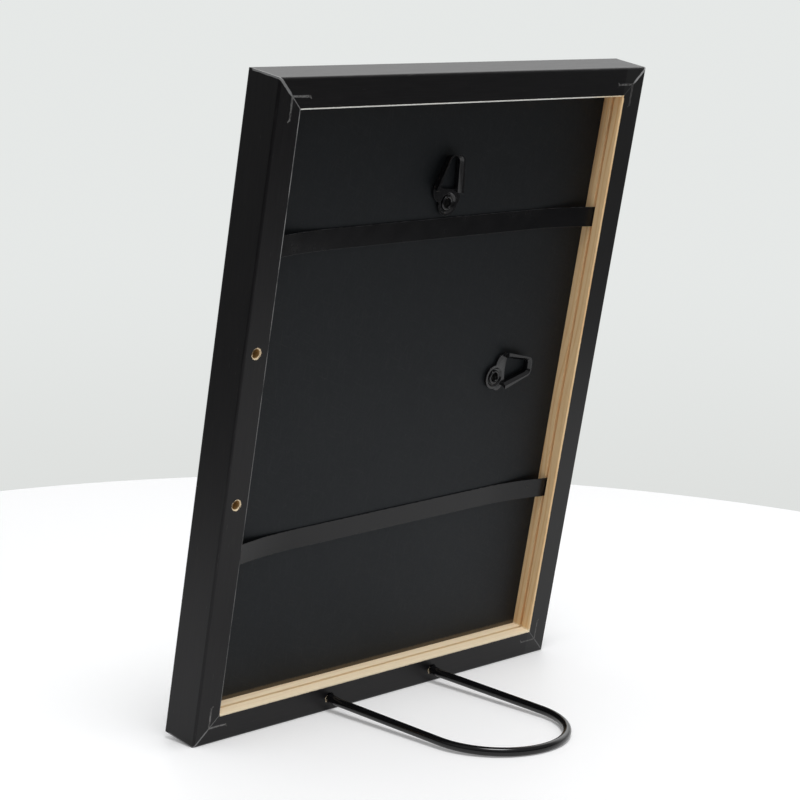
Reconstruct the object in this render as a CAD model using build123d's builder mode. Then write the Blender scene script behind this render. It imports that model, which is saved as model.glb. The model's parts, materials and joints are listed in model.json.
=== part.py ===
from build123d import *
import os
from math import atan2, cos, hypot, radians, sin

os.makedirs("parts", exist_ok=True)

# Picture format and how the frame stands, in millimetres and degrees
picture_width = 180.0
picture_height = 240.0
lean = 10.0

# Rails: mitred moulding with a rebate behind a front lip
rail_width = 12.0
rail_depth = 17.6
lip_overlap = 5.0
lip_thickness = 3.5
outer_round = 1.0
bare_edge = 0.3

# Panels stacked in the rebate, from the lip to the back
panel_gap = 0.2
glass_thickness = 2.0
insert_thickness = 0.3
board_thickness = 2.5

# Saw kerf along the rebate wall, and the strips whose lifted ends spring into it
kerf_height = 4.4
kerf_depth = 1.6
kerf_play = 0.45
strip_width = 8.4
strip_thickness = 0.4
strip_lift_length = 35.0
strip_in_kerf = 1.2
strip_board_gap = 0.1
strip_hanger_gap = 1.0
upper_strip_turn = 0.2
lower_strip_rise = 65.25
lower_strip_turn = 0.7

# Corner nails: steel strips bent to an L, driven across each mitre
nail_leg = 8.5
nail_hook = 0.9
nail_thickness = 0.5
nail_length = 10.0
nail_inset = 7.0

# Hangers: a dished round tab, a waisted neck and a standing loop of sheet with a flared lip
hanger_sheet = 0.45
tab_radius = 5.2
tab_thickness = 1.1
tab_rim = 1.0
tab_dish = 0.7
tab_dish_slope = 45.0
neck_length = 6.4
neck_bar = 1.6
neck_waist = 1.2
neck_dip = 0.8
loop_offset = -2.6
loop_base_width = 14.3
loop_end_width = 5.5
loop_reach = 19.0
loop_wall = 2.2
loop_height = 3.4
loop_flare = 0.9
loop_corner = 2.0
swivel_gap = 0.1
portrait_hanger_across = 3.5
portrait_hanger_drop = 42.1
portrait_hanger_turn = -6.8
landscape_hanger_inset = 41.3
landscape_hanger_rise = 0.5
landscape_hanger_turn = -87.3

# Eyelets that hold the hangers on the board
eyelet_bore = 3.9
eyelet_wall = 0.4
eyelet_flange_reach = 0.6
eyelet_flange_thickness = 0.7
eyelet_flange_round = 0.45
eyelet_roll_reach = 0.7
eyelet_roll_thickness = 0.5
eyelet_fit = 0.05

# Wire stand and the drilled holes that take its legs
wire_diameter = 3.5
leg_spacing = 60.0
leg_insert = 11.0
leg_exit = 5.0
leg_bend_radius = 12.0
stand_reach = 93.5
hole_fit = 0.1
hole_end_gap = 1.0
hole_chip = 0.45
hole_chip_angle = 90.0
side_hole_drop = 1.3

# Sizes that follow from the ones above
panel_width = picture_width - 2 * panel_gap
panel_height = picture_height - 2 * panel_gap
outer_width = picture_width + 2 * rail_width
outer_height = picture_height + 2 * rail_width
half_width = outer_width / 2
half_height = outer_height / 2
lip_edge = rail_width + lip_overlap
rebate_floor = -rail_depth + lip_thickness
glass_back = rebate_floor + glass_thickness
insert_back = glass_back + insert_thickness
board_back = insert_back + board_thickness
kerf_middle = board_back + kerf_height
kerf_width = strip_thickness + 2 * kerf_play
wire_radius = wire_diameter / 2
hole_radius = wire_radius + hole_fit
hole_depth = leg_insert + hole_end_gap
leg_height = rail_width / 2
barrel_radius = eyelet_bore / 2 + eyelet_wall
eyelet_flange_radius = barrel_radius + eyelet_flange_reach
eyelet_roll_radius = barrel_radius + eyelet_roll_reach
portrait_hanger_height = rail_width + picture_height - portrait_hanger_drop
landscape_hanger_across = picture_width / 2 - landscape_hanger_inset
landscape_hanger_height = half_height + landscape_hanger_rise
loop_inner_half = loop_base_width / 2 - hanger_sheet
neck_arc = (loop_inner_half**2 + neck_dip**2) / (2 * neck_dip)
upper_strip_height = portrait_hanger_height - tab_radius - strip_hanger_gap - strip_width / 2
lower_strip_height = rail_width + lower_strip_rise

# The frame leans about its rounded bottom edge, which touches the table at height 0
lean_sin = sin(radians(lean))
lean_cos = cos(radians(lean))
round_lift = outer_round * (lean_cos + lean_sin - 1)
front_reach = rail_depth * lean_cos - round_lift
origin_shift = (front_reach - stand_reach - wire_radius) / 2

# Back plane of the rails: x to the right seen from behind, y up the frame, z out of the back
back = Plane(
    origin=(0, origin_shift, -round_lift),
    x_dir=(-1, 0, 0),
    z_dir=(0, lean_cos, -lean_sin),
)


def direction(across, up):
    """World direction of a vector that lies in the back plane."""
    return back.x_dir * across + back.y_dir * up


def on_back(across, height, depth=0.0, turn=0.0):
    """Plane parallel to the back face at a point given in the frame's own directions."""
    middle = back.from_local_coords(Vector(across, height, depth))
    x_turned = direction(cos(radians(turn)), sin(radians(turn)))
    return Plane(origin=middle, x_dir=x_turned, z_dir=back.z_dir)


def save(part, label):
    """Name a finished piece and write it to its own file."""
    part.label = label
    export_step(part, f"parts/{label}.step")


# Corner nails: one L of sheet steel over each mitre, legs along the two rails, one end hooked
# towards the outer edge and the other towards the opening
corners = {
    "corner_nail_top_right": (-1, 1),
    "corner_nail_top_left": (1, 1),
    "corner_nail_bottom_right": (-1, -1),
    "corner_nail_bottom_left": (1, -1),
}
nails = []
for name, (side, end) in corners.items():
    apex = on_back(side * (half_width - nail_inset), half_height + end * (half_height - nail_inset))
    with BuildPart() as nail:
        with BuildSketch(apex):
            with BuildLine():
                Polyline(
                    (-side * (nail_leg + nail_hook), side * nail_hook),
                    (-side * nail_leg, 0),
                    (0, 0),
                    (0, -end * nail_leg),
                    (-end * nail_hook, -end * (nail_leg + nail_hook)),
                )
            trace(line_width=nail_thickness)
        extrude(amount=-nail_length)
    save(nail.part, name)
    nails.append(nail.part)

# Rails: one section, swept along each side and cut at 45 degrees where two sides meet
sides = {
    "bottom_rail": ((0, 0), (0, 1), (1, 0), outer_width),
    "left_rail": ((half_width, half_height), (-1, 0), (0, 1), outer_height),
    "top_rail": ((0, outer_height), (0, -1), (-1, 0), outer_width),
    "right_rail": ((-half_width, half_height), (1, 0), (0, -1), outer_height),
}
stand_hole_shift = {"bottom_rail": 0.0, "right_rail": side_hole_drop}
for name, (middle, inward, along, length) in sides.items():
    start = back.from_local_coords(Vector(*middle, 0))
    section = Plane(origin=start, x_dir=direction(*inward), z_dir=direction(*along))
    mitre_far = Plane(
        origin=start + direction(*along) * (length / 2),
        z_dir=direction(*along) + direction(*inward),
    )
    mitre_near = Plane(
        origin=start - direction(*along) * (length / 2),
        z_dir=direction(*inward) - direction(*along),
    )
    with BuildPart() as rail:
        with BuildSketch(section) as moulding:
            with BuildLine():
                Polyline(
                    (0, 0),
                    (rail_width, 0),
                    (rail_width, rebate_floor),
                    (lip_edge, rebate_floor),
                    (lip_edge, -rail_depth),
                    (0, -rail_depth),
                    close=True,
                )
            make_face()
            outer_corners = moulding.vertices().group_by(Axis.X)[0]
            lip_corner = moulding.vertices().group_by(Axis.X)[-1].sort_by(Axis.Y)[0]
            inner_corner = moulding.vertices().group_by(Axis.Y)[-1].sort_by(Axis.X)[-1]
            chamfer(inner_corner, bare_edge)
            fillet([*outer_corners, lip_corner], outer_round)
            with Locations((rail_width - kerf_depth / 2, kerf_middle)):
                Rectangle(kerf_depth, kerf_width, mode=Mode.SUBTRACT)
        extrude(amount=length / 2, both=True)
        split(bisect_by=mitre_far, keep=Keep.BOTTOM)
        split(bisect_by=mitre_near, keep=Keep.BOTTOM)
        if name in stand_hole_shift:
            for side in (-1, 1):
                offset_along = stand_hole_shift[name] + side * leg_spacing / 2
                mouth = start + direction(*along) * offset_along + direction(*inward) * leg_height
                drill = Plane(origin=mouth, x_dir=direction(*along), z_dir=back.z_dir)
                with Locations(drill.location):
                    CounterSinkHole(hole_radius, hole_radius + hole_chip, hole_depth, hole_chip_angle)
        for nail_solid in nails:
            add(nail_solid, mode=Mode.SUBTRACT)
    save(rail.part, name)

# Panels in the rebate: they stand on the bottom rail's rebate wall
panel_middle = rail_width + panel_height / 2

with BuildPart() as glass_pane:
    with BuildSketch(on_back(0, panel_middle, glass_back)):
        Rectangle(panel_width, panel_height)
    extrude(amount=-glass_thickness)
save(glass_pane.part, "glass_pane")

with BuildPart() as insert_sheet:
    with BuildSketch(on_back(0, panel_middle, insert_back)):
        Rectangle(panel_width, panel_height)
    extrude(amount=-insert_thickness)
save(insert_sheet.part, "insert_sheet")

hanger_places = {
    "portrait": (portrait_hanger_across, portrait_hanger_height, portrait_hanger_turn),
    "landscape": (landscape_hanger_across, landscape_hanger_height, landscape_hanger_turn),
}
with BuildPart() as backing_board:
    with BuildSketch(on_back(0, panel_middle, board_back)):
        Rectangle(panel_width, panel_height)
    extrude(amount=-board_thickness)
    for across, height, _ in hanger_places.values():
        with Locations(on_back(across, height, board_back).location):
            Hole(barrel_radius + eyelet_fit, board_thickness)
        with Locations(on_back(across, height, insert_back).location):
            Hole(eyelet_roll_radius + eyelet_fit, eyelet_roll_thickness + eyelet_fit)
save(backing_board.part, "backing_board")

# Spring strips: flat on the board along the middle, with ends that curve up into the kerf
strip_half = picture_width / 2 + strip_in_kerf
strip_flat = picture_width / 2 - strip_lift_length
strip_low = board_back + strip_board_gap
strip_slope = 2 * (kerf_middle - strip_low) / (strip_lift_length + strip_in_kerf)
strip_end = kerf_middle + (strip_in_kerf * strip_slope - strip_thickness) / 2
strip_places = {
    "upper_spring_strip": (upper_strip_height, upper_strip_turn),
    "lower_spring_strip": (lower_strip_height, lower_strip_turn),
}
for name, (height, turn) in strip_places.items():
    lying = on_back(0, height, 0, turn)
    bow_plane = Plane(origin=lying.origin, x_dir=lying.x_dir, z_dir=-lying.y_dir)
    with BuildPart() as strip:
        with BuildSketch(bow_plane):
            with BuildLine():
                for level in (0, strip_thickness):
                    low = strip_low + level
                    end = strip_end + level
                    Line((-strip_flat, low), (strip_flat, low))
                    TangentArc((strip_flat, low), (strip_half, end), tangent=(1, 0))
                    TangentArc((-strip_flat, low), (-strip_half, end), tangent=(-1, 0))
                for tip in (-strip_half, strip_half):
                    Line((tip, strip_end), (tip, strip_end + strip_thickness))
            make_face()
        extrude(amount=strip_width / 2, both=True)
    save(strip.part, name)

# Hangers and their eyelets
def loop_outline(plane, grow, inset, near):
    """Tapered outline of a hanger's loop on a plane, with its two far corners rounded."""
    base_half = loop_base_width / 2 + grow - inset
    end_half = loop_end_width / 2 + grow - inset
    far = loop_reach + grow - inset
    with BuildSketch(plane) as outline:
        with BuildLine():
            Polyline(
                (loop_offset - base_half, near),
                (loop_offset + base_half, near),
                (loop_offset + end_half, far),
                (loop_offset - end_half, far),
                close=True,
            )
        make_face()
        fillet(outline.vertices().sort_by(Axis.Y)[-2:], loop_corner + grow - inset)
    return outline.sketch


left_end = (loop_offset - loop_base_width / 2, neck_length)
right_end = (loop_offset + loop_base_width / 2, neck_length)
left_low = (loop_offset - loop_base_width / 2, neck_length - neck_bar)
right_low = (loop_offset + loop_base_width / 2, neck_length - neck_bar)
for use, (across, height, turn) in hanger_places.items():
    seat = on_back(across, height, board_back + swivel_gap, turn)
    levels = ((seat, 0.0), (seat.offset(loop_wall), 0.0), (seat.offset(loop_height), loop_flare))
    outside = [loop_outline(plane, grow, 0, neck_length - neck_bar) for plane, grow in levels]
    inside = [loop_outline(plane, grow, hanger_sheet, 0) for plane, grow in levels]
    with BuildPart() as hanger:
        loft(outside, ruled=True)
        loft(inside, ruled=True, mode=Mode.SUBTRACT)
        with BuildSketch(seat):
            with BuildLine():
                Polyline(left_low, left_end, right_end, right_low)
                SagittaArc(right_low, (tab_radius, 0), neck_waist)
                Line((tab_radius, 0), (-tab_radius, 0))
                SagittaArc((-tab_radius, 0), left_low, neck_waist)
            make_face()
            Circle(tab_radius)
            with Locations((loop_offset, neck_length - neck_dip + neck_arc)):
                Circle(neck_arc, mode=Mode.SUBTRACT)
            Circle(barrel_radius + eyelet_fit, mode=Mode.SUBTRACT)
        extrude(amount=tab_thickness)
        with BuildSketch(seat.offset(tab_thickness)):
            Circle(tab_radius - tab_rim)
        extrude(amount=-tab_dish, taper=tab_dish_slope, mode=Mode.SUBTRACT)
    save(hanger.part, f"{use}_hanger")

    centre_line = Axis(seat.origin, seat.z_dir)
    radial = Plane(origin=seat.origin, x_dir=seat.x_dir, z_dir=-seat.y_dir)
    flange_low = tab_thickness - tab_dish + eyelet_fit
    flange_top = flange_low + eyelet_flange_thickness
    roll_top = insert_back + eyelet_roll_thickness - board_back - swivel_gap
    roll_low = insert_back - board_back - swivel_gap
    with BuildPart() as eyelet:
        with BuildSketch(radial) as eyelet_section:
            with BuildLine():
                Polyline(
                    (eyelet_bore / 2, flange_top),
                    (eyelet_flange_radius, flange_top),
                    (eyelet_flange_radius, flange_low),
                    (barrel_radius, flange_low),
                    (barrel_radius, roll_top),
                    (eyelet_roll_radius, roll_top),
                    (eyelet_roll_radius, roll_low),
                    (eyelet_bore / 2, roll_low),
                    close=True,
                )
            make_face()
            flange_edges = eyelet_section.vertices().sort_by(Axis.Y)[-2:]
            fillet(flange_edges, eyelet_flange_round)
        revolve(axis=centre_line)
    save(eyelet.part, f"{use}_eyelet")

# Wire stand: two legs straight out of the holes, a bend towards level and a half round loop
bend_out = leg_height * lean_sin + leg_exit * lean_cos
bend_up = leg_height * lean_cos - leg_exit * lean_sin - round_lift
leg_run = hypot(stand_reach - bend_out, wire_radius - bend_up) - leg_spacing / 2
slope = atan2(wire_radius - bend_up, stand_reach - bend_out)
loop_plane = Plane(
    origin=(0, origin_shift + bend_out, bend_up),
    x_dir=(-1, 0, 0),
    z_dir=(0, -sin(slope), cos(slope)),
)
with BuildPart() as wire_stand:
    with BuildLine() as route:
        tips = []
        bends = []
        turns = []
        for side in (-1, 1):
            tips.append(back.from_local_coords(Vector(side * leg_spacing / 2, leg_height, -leg_insert)))
            bends.append(back.from_local_coords(Vector(side * leg_spacing / 2, leg_height, leg_exit)))
            turns.append(loop_plane.from_local_coords(Vector(side * leg_spacing / 2, -leg_run, 0)))
        far_end = loop_plane.from_local_coords(Vector(0, -leg_run - leg_spacing / 2, 0))
        FilletPolyline(tips[0], bends[0], turns[0], radius=leg_bend_radius)
        ThreePointArc(turns[0], far_end, turns[1])
        FilletPolyline(turns[1], bends[1], tips[1], radius=leg_bend_radius)
    with BuildSketch(Plane(origin=tips[0], x_dir=back.x_dir, z_dir=back.z_dir)):
        Circle(wire_radius)
    sweep(path=route.wires()[0])
save(wire_stand.part, "wire_stand")
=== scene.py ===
"""The looks of a leaning photo frame with a plug-in wire stand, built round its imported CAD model."""

import json
from math import radians

import bmesh
import bpy
from bpy.props import FloatProperty, FloatVectorProperty, IntProperty, PointerProperty
from mathutils import Matrix, Vector


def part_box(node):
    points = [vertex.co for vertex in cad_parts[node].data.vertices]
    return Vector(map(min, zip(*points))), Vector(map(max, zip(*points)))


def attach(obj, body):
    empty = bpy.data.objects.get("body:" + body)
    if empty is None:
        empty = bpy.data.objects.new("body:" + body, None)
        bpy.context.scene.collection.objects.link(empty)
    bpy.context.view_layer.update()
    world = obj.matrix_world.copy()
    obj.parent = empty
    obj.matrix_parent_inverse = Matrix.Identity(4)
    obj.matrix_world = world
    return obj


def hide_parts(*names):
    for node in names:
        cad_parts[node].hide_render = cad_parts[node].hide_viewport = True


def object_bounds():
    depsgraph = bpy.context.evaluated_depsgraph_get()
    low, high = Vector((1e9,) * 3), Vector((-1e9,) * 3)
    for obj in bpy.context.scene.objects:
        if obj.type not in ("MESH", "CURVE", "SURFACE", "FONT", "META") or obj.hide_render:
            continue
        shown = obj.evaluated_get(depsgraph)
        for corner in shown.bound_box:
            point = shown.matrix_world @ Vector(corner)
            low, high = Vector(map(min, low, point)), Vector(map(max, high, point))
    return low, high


bl_info = {
    "name": "Photo Frame with Wire Stand",
    "version": (1, 0, 0),
    "blender": (4, 5, 0),
    "location": "View3D > Sidebar > Photo Frame",
    "description": "Dresses a leaning photo frame in black film, bare pine, hardboard and black steel",
    "category": "Object",
}

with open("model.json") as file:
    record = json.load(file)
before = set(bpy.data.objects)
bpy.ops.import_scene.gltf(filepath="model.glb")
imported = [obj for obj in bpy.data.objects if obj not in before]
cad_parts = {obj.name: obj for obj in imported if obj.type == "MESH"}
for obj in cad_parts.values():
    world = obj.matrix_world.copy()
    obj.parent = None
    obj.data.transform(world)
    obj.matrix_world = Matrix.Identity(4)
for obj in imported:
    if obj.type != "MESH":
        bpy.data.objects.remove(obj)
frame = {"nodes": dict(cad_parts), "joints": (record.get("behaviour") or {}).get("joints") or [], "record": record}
cad_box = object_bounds()

MM = 0.001
RAILS = ("bottom_rail", "left_rail", "top_rail", "right_rail")
NAILS = ("corner_nail_top_right", "corner_nail_top_left",
         "corner_nail_bottom_right", "corner_nail_bottom_left")

# How strongly each corner shows its marks, with left and right as seen from the picture side
CORNERS = ("Top Right", "Top Left", "Bottom Right", "Bottom Left")
SEAM_SPREAD = (1.0, 1.0, 0.5, 0.3)
OUTER_SEAM = (0.6, 0.95, 0.5, 0.25)
INNER_SEAM = (0.5, 0.12, 0.4, 0.25)
CRUSHED_FILM = (0.35, 0.25, 0.2, 0.08)
LEVEL_NAIL_LEG = (0.95, 0.7, 0.55, 0.35)
UPRIGHT_NAIL_LEG = (0.7, 0.12, 0.55, 0.25)

# Limits for meshes, a mask's soft edge in millimetres, and the sine of a mitre's angle
MERGE = 0.002 * MM
FLAT = radians(0.4)
SHARP = radians(32)
SOFT_EDGE = 0.06
MITRE_SINE = 0.7071


# Where the frame's own directions and edges lie

def mount(name):
    """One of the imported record's mounts."""
    return next(item for item in frame["record"]["mounts"] if item["name"] == name)


def joint(name):
    """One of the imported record's joints."""
    return next(item for item in frame["joints"] if item["name"] == name)


def span(node, direction, start):
    """How far a node reaches along a direction, lowest and highest, in metres from start."""
    reach = [(vertex.co - start).dot(direction) for vertex in frame["nodes"][node].data.vertices]
    return min(reach), max(reach)


OUT = Vector(mount("wall_face")["axis"]).normalized()
UP = Vector(joint("upper_strip_slide")["axis"]).normalized()
ACROSS = UP.cross(OUT)
FACE = Vector(mount("wall_face")["pos_m"])
FOOT = FACE + UP * span("left_rail", UP, FACE)[0]
BACK = Matrix.Translation(FOOT) @ Matrix((ACROSS, UP, OUT)).transposed().to_4x4()

HEIGHT = span("left_rail", UP, FOOT)[1]
HALF_WIDTH = span("left_rail", ACROSS, FOOT)[1]
DEPTH = -span("left_rail", OUT, FOOT)[0]
LIP_DEPTH = -span("glass_pane", OUT, FOOT)[0]
BOARD_DEPTH = -span("backing_board", OUT, FOOT)[1]
UPPER_HOLE = Vector(mount("landscape_stand_hole_upper")["pos_m"])
LOWER_HOLE = Vector(mount("landscape_stand_hole_lower")["pos_m"])
HOLE_RADIUS = mount("landscape_stand_hole_upper")["dims"]["r_mm"] * MM
HOLE_SPACING = (UPPER_HOLE - LOWER_HOLE).length
SIDE_HOLE_ACROSS = (UPPER_HOLE - FOOT).dot(ACROSS)
SIDE_HOLE_MIDDLE = ((UPPER_HOLE + LOWER_HOLE) / 2 - FOOT).dot(UP)
RAIL_WIDTH = 2 * (HALF_WIDTH - abs(SIDE_HOLE_ACROSS))
RAIL_REACH = 1.05 * RAIL_WIDTH  # a rail and its bare inner wall


# What a user would change

def tone(name, description, linear):
    """A colour property."""
    return FloatVectorProperty(name=name, description=description, subtype="COLOR",
                               size=3, min=0, max=1, default=linear)


def size(name, description, millimetres):
    """A length property, in metres as Blender keeps it."""
    return FloatProperty(name=name, description=description, subtype="DISTANCE",
                         unit="LENGTH", precision=5, default=millimetres * MM)


def amount(name, description, value, top=1.0):
    """A plain number property."""
    return FloatProperty(name=name, description=description, min=0, max=top, default=value)


class MouldingSettings(bpy.types.PropertyGroup):
    """The rails' film, pine and joints."""
    film: tone("Film", "Black film on the moulding's outside", (0.0035, 0.0031, 0.0039))
    film_fleck: tone("Film Fleck", "Pale flecks and rubbed spots in the film", (0.045, 0.042, 0.041))
    # Lighter film on the back face of the rail away from the open holes
    far_rail_film: tone("Far Rail Film", "Film on the rail away from the open holes", (0.012, 0.0118, 0.0122))
    film_gloss: amount("Film Roughness", "Roughness of the film", 0.38)
    early_wood: tone("Early Wood", "Pale part of the pine's grain", (0.94, 0.67, 0.37))
    late_wood: tone("Late Wood", "Dark lines of the pine's grain", (0.80, 0.45, 0.19))
    # Painted light: a paler tone for the bottom rail's pine, as if lit more strongly
    painted_light_wood: tone("Painted Light Wood", "Painted light on the bottom rail's pine", (1.0, 0.93, 0.74))
    painted_light_share: amount("Painted Light Share", "How far the bottom rail's pine leans to the painted light", 0.55)
    rubbed_edge: tone("Rubbed Edge", "Grey line beside the opening on the top rail", (0.90, 0.90, 0.86))
    torn_wood: tone("Torn Wood", "Fresh pine at cut and torn edges", (0.90, 0.76, 0.54))
    # Painted shade: darker pine inside the drilled holes
    hole_shade_wood: tone("Hole Shade", "Painted shade on the pine inside the drilled holes", (0.46, 0.27, 0.09))
    # Painted shade: darker pine beside the board, in place of the recess's own shade
    recess_shade_wood: tone("Recess Shade", "Painted shade on the pine beside the board", (0.38, 0.19, 0.08))
    seam: tone("Mitre Seam", "Bare line where two rails meet", (0.37, 0.37, 0.37))
    rubbed_line: tone("Rubbed Line", "Grey line beside the opening on the rail with open holes",
                      (0.33, 0.33, 0.33))
    bare_band: size("Bare Band", "Bare strip on the back face beside the opening", 0.9)
    top_band: size("Top Band", "Bare strip on the top rail", 0.55)
    grey_start: size("Grey Start", "Where the top rail's strip turns grey, from the middle", 82.0)
    grey_full: size("Grey Full", "Where the top rail's strip is wholly grey, from the middle", 66.0)
    narrow_band: size("Narrow Band", "Rubbed line on the rail with open holes", 0.6)
    seam_width: size("Seam Width", "Usual width of the bare line at a mitre", 0.5)
    torn_width: size("Torn Width", "Torn ring around a drilled hole", 0.42)
    splinter_length: size("Splinter Length", "Longest splinter at a drilled rim", 0.75)
    splinter_width: size("Splinter Width", "Width of a splinter at its root", 0.26)
    splinter_count: IntProperty(name="Splinters", description="Splinters round one open hole",
                                min=3, max=200, default=26)


class NailSettings(bpy.types.PropertyGroup):
    """The corner nails' steel."""
    steel: tone("Steel", "Bare nail steel", (0.34, 0.335, 0.33))
    stain: tone("Stain", "Film dust and rust on the steel", (0.035, 0.031, 0.029))
    inset: size("Nail Inset", "Nail's bend from the outer edges", 7.0)
    leg: size("Nail Leg", "Length of one leg", 8.5)


class PanelSettings(bpy.types.PropertyGroup):
    """The board, insert and glass."""
    board: tone("Board", "Black hardboard", (0.0038, 0.0046, 0.0054))
    # A brown band along the board's lower edge
    lower_brown_band: tone("Lower Brown Band", "Brown band along the board's lower edge", (0.085, 0.062, 0.036))
    lower_band_width: size("Lower Band Width", "Width of the brown strip at the board's lower edge", 2.2)
    board_fibre: tone("Board Fibre", "Paler fibres in the hardboard", (0.0115, 0.0122, 0.0130))
    paper: tone("Paper", "Plain insert sheet", (0.78, 0.77, 0.73))
    paper_shade: tone("Paper Shade", "Darker clouds in the paper", (0.70, 0.68, 0.63))
    glass: tone("Glass", "Tint of the glass", (0.955, 0.985, 0.97))


class HardwareSettings(bpy.types.PropertyGroup):
    """The strips, hangers, eyelets and wire."""
    coat: tone("Black Coat", "Black coat on strips, hangers and eyelets", (0.0036, 0.0036, 0.0041))
    # Worn edges and painted highlights: these tones stand for both rubbing and highlights along rounded edges
    worn_coat_and_highlight: tone("Worn Coat And Highlight", "Rubbed edges of the black coat with painted highlights along them", (0.040, 0.041, 0.044))
    worn_stamping_and_highlight: tone("Worn Stamping And Highlight", "Rubbed edges of hangers and eyelets with painted highlights along them", (0.016, 0.0165, 0.018))
    wire_coat: tone("Wire Coat", "Glossy black coat of the wire", (0.0030, 0.0030, 0.0034))
    strip_round: size("Strip Edge", "Rounding of the strips' edges", 0.12)
    hanger_round: size("Hanger Edge", "Rounding of the hangers' edges", 0.1)
    eyelet_round: size("Eyelet Edge", "Rounding of the eyelets' edges", 0.1)
    wire: size("Wire Diameter", "Diameter of the wire stand", 3.5)
    leg_insert: size("Leg Insert", "Wire inside the bottom rail", 11.0)
    leg_exit: size("Leg Exit", "Straight wire behind the back face, before its bend", 5.0)
    bend_radius: size("Bend Radius", "Radius of the legs' bends", 12.0)
    wire_sides: IntProperty(name="Wire Sides", description="Faces round the wire",
                            min=8, max=96, default=40)
    bend_steps: IntProperty(name="Bend Steps", description="Steps round one bend of the wire",
                            min=4, max=128, default=32)


class StageSettings(bpy.types.PropertyGroup):
    """The table, room, light and camera."""
    table: tone("Table", "Pale table top", (0.885, 0.885, 0.89))
    table_glow: amount("Table Glow", "How much paler the table looks than it is lit", 0.15)
    wall: tone("Wall", "Pale wall behind the table", (0.79, 0.81, 0.80))
    low_wall: tone("Low Wall", "Wall just above the table's edge", (0.72, 0.735, 0.72))
    mirrored_wall: amount("Mirrored Wall", "How bright the lit wall looks in reflections", 2.25, 4.0)
    mirrored_top: tone("Mirrored Ceiling", "Ceiling overhead in reflections", (0.36, 0.36, 0.365))
    mirrored_floor: tone("Mirrored Floor", "Room floor in reflections", (0.07, 0.07, 0.072))
    mirrored_near: tone("Mirrored Near Side", "Camera's side of the room in reflections",
                        (0.06, 0.06, 0.06))
    under: tone("Under", "Light from below the table's height", (0.30, 0.30, 0.31))
    ceiling: tone("Ceiling", "Light from the room's ceiling", (0.62, 0.625, 0.63))
    room: tone("Room", "Light from the room's sides", (0.40, 0.405, 0.41))
    table_radius: size("Table Radius", "Radius of the round table", 412.6)
    table_centre: FloatVectorProperty(name="Table Centre", description="Middle of the round table",
                                      subtype="TRANSLATION", size=3, default=(-0.0127, -0.0495, 0.0))
    lamp_power: FloatProperty(name="Lamp Power", description="Power of the soft lamp overhead",
                              unit="POWER", min=0, default=10.0)
    lamp_size: size("Lamp Size", "Side of the soft lamp", 500.0)
    lamp_place: FloatVectorProperty(name="Lamp Place", description="Middle of the soft lamp",
                                    subtype="TRANSLATION", size=3, default=(0.12, 0.34, 1.32))
    camera_place: FloatVectorProperty(name="Camera Place", description="Where the camera stands",
                                      subtype="TRANSLATION", size=3,
                                      default=(0.677979, 0.637436, 0.304256))
    camera_turn: FloatVectorProperty(name="Camera Turn", description="Which way the camera looks",
                                     subtype="EULER", size=3,
                                     default=(radians(78.3156), radians(-1.2587), radians(134.8325)))
    camera_lens: FloatProperty(name="Camera Lens", description="Focal length in millimetres",
                               default=107.713)
    camera_shift: FloatProperty(name="Camera Shift", description="Upward shift of the view",
                                default=0.05847)


# Short ways to fill a node tree

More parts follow.
